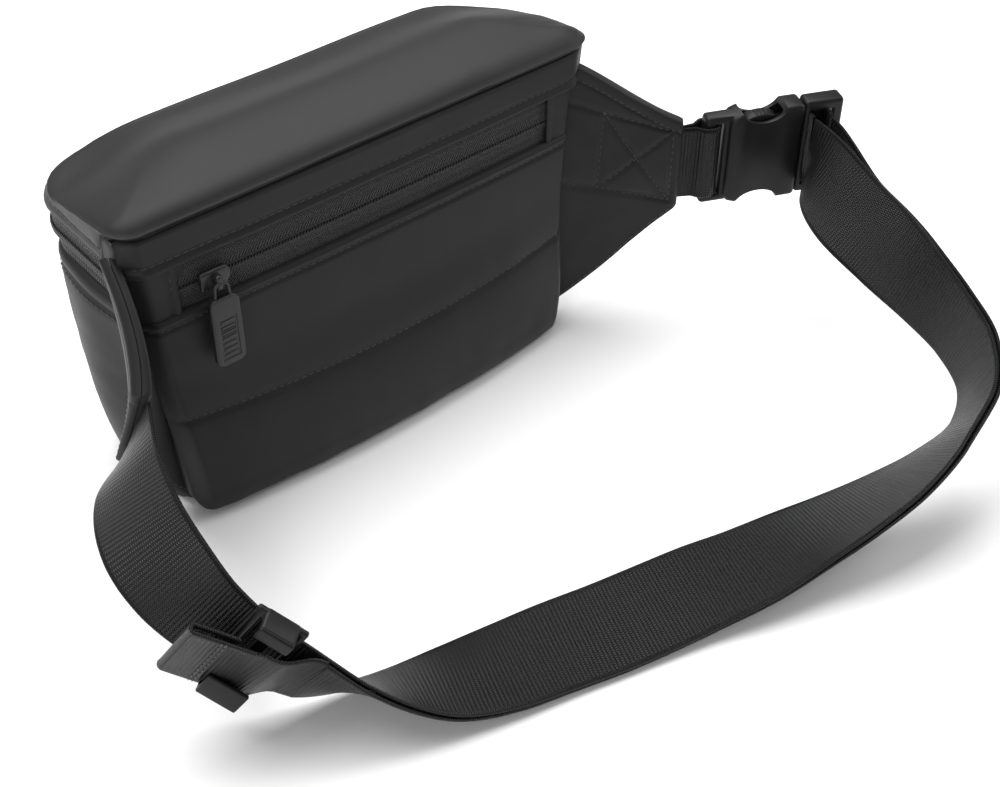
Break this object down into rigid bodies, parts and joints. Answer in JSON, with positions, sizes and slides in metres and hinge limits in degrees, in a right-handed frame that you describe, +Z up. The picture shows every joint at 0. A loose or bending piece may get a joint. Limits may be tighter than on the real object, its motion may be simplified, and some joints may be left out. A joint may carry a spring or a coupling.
{
  "type": "waist bag",
  "caption": "Soft zipped waist bag with a rear pocket, padded wings, and a webbing belt with a side release buckle and a slide adjuster.",
  "frame": {"origin": "middle of the flat base that the bag stands on", "axes": "+X along the length of the bag, -Y out of the back panel towards the belt, +Z up"},
  "size_m": [0.4044, 0.3005, 0.157],
  "materials": {
    "coated_fabric": "matt coated cloth with a soft sheen",
    "webbing": "ribbed polyester webbing, slightly shiny",
    "acetal": "moulded acetal, fine matt texture",
    "zip_fabric": "herringbone zip tape",
    "lining_fabric": "plain woven lining",
    "foam": "soft foam sheet",
    "zip_metal": "black painted zinc",
    "soft_rubber": "soft moulded rubber"
  },
  "bodies": {
    "bag": {"back_foam": "foam", "back_panel": "coated_fabric", "back_yoke": "coated_fabric", "belt_inner_end": "webbing", "belt_inner_run": "webbing", "belt_left_run": "webbing", "belt_outer_end": "webbing", "belt_outer_return": "webbing", "belt_outer_run": "webbing", "belt_tail": "webbing", "body_shell": "coated_fabric", "buckle_female": "acetal", "left_wing_inner": "coated_fabric", "left_wing_outer": "coated_fabric", "main_lining": "lining_fabric", "main_zip_tape_lower": "zip_fabric", "rear_pocket_lining": "lining_fabric", "rear_zip_end_tab_left": "coated_fabric", "rear_zip_end_tab_right": "coated_fabric", "rear_zip_tape_lower": "zip_fabric", "rear_zip_tape_upper": "zip_fabric", "right_webbing_loop": "webbing", "right_wing_inner": "coated_fabric", "right_wing_outer": "coated_fabric", "tri_glide": "acetal"},
    "lid": {"top_panel": "coated_fabric", "main_zip_tape_upper": "zip_fabric"},
    "rear_slider": {"rear_slider": "zip_metal"},
    "rear_pull": {"rear_pull_link": "zip_metal", "rear_pull_tab": "soft_rubber"},
    "main_slider": {"main_slider": "zip_metal"},
    "main_pull": {"main_pull_link": "zip_metal", "main_pull_tab": "soft_rubber"},
    "buckle_male": {"buckle_male": "acetal", "belt_wrap": "webbing"},
    "latch_arm_upper": {"latch_arm_upper": "acetal"},
    "latch_arm_lower": {"latch_arm_lower": "acetal"}
  },
  "joints": [
    {"name": "lid_open", "type": "hinge", "parent": "bag", "child": "lid", "pos_m": [0, -0.0405, 0.1462], "axis": [1, 0, 0], "range_deg": [0, 70]},
    {"name": "rear_slider_run", "type": "slide", "parent": "bag", "child": "rear_slider", "axis": [1, 0, 0], "range_m": [0, 0.16]},
    {"name": "rear_pull_swing", "type": "hinge", "parent": "rear_slider", "child": "rear_pull", "pos_m": [-0.079, -0.04762, 0.117], "axis": [-1, 0, 0], "range_deg": [0, 150]},
    {"name": "main_slider_run", "type": "slide", "parent": "bag", "child": "main_slider", "axis": [-1, 0, 0], "range_m": [0, 0.152]},
    {"name": "main_pull_swing", "type": "hinge", "parent": "main_slider", "child": "main_pull", "pos_m": [0.076, 0.0445, 0.1205], "axis": [1, 0, 0], "range_deg": [0, 150]},
    {"name": "buckle_pull_out", "type": "slide", "parent": "bag", "child": "buckle_male", "axis": [0.9085, -0.4179, 0], "range_m": [0, 0.03]},
    {"name": "latch_upper_press", "type": "hinge", "parent": "buckle_male", "child": "latch_arm_upper", "pos_m": [0.2156, -0.0826, 0.0913], "axis": [-0.4179, -0.9085, 0], "range_deg": [0, 6], "stiffness_Nm_per_rad": 0.2},
    {"name": "latch_lower_press", "type": "hinge", "parent": "buckle_male", "child": "latch_arm_lower", "pos_m": [0.2156, -0.0826, 0.0607], "axis": [0.4179, 0.9085, 0], "range_deg": [0, 6], "stiffness_Nm_per_rad": 0.2}
  ],
  "couplings": [
    {"joint": "latch_lower_press", "follows": "latch_upper_press", "ratio": 1}
  ]
}
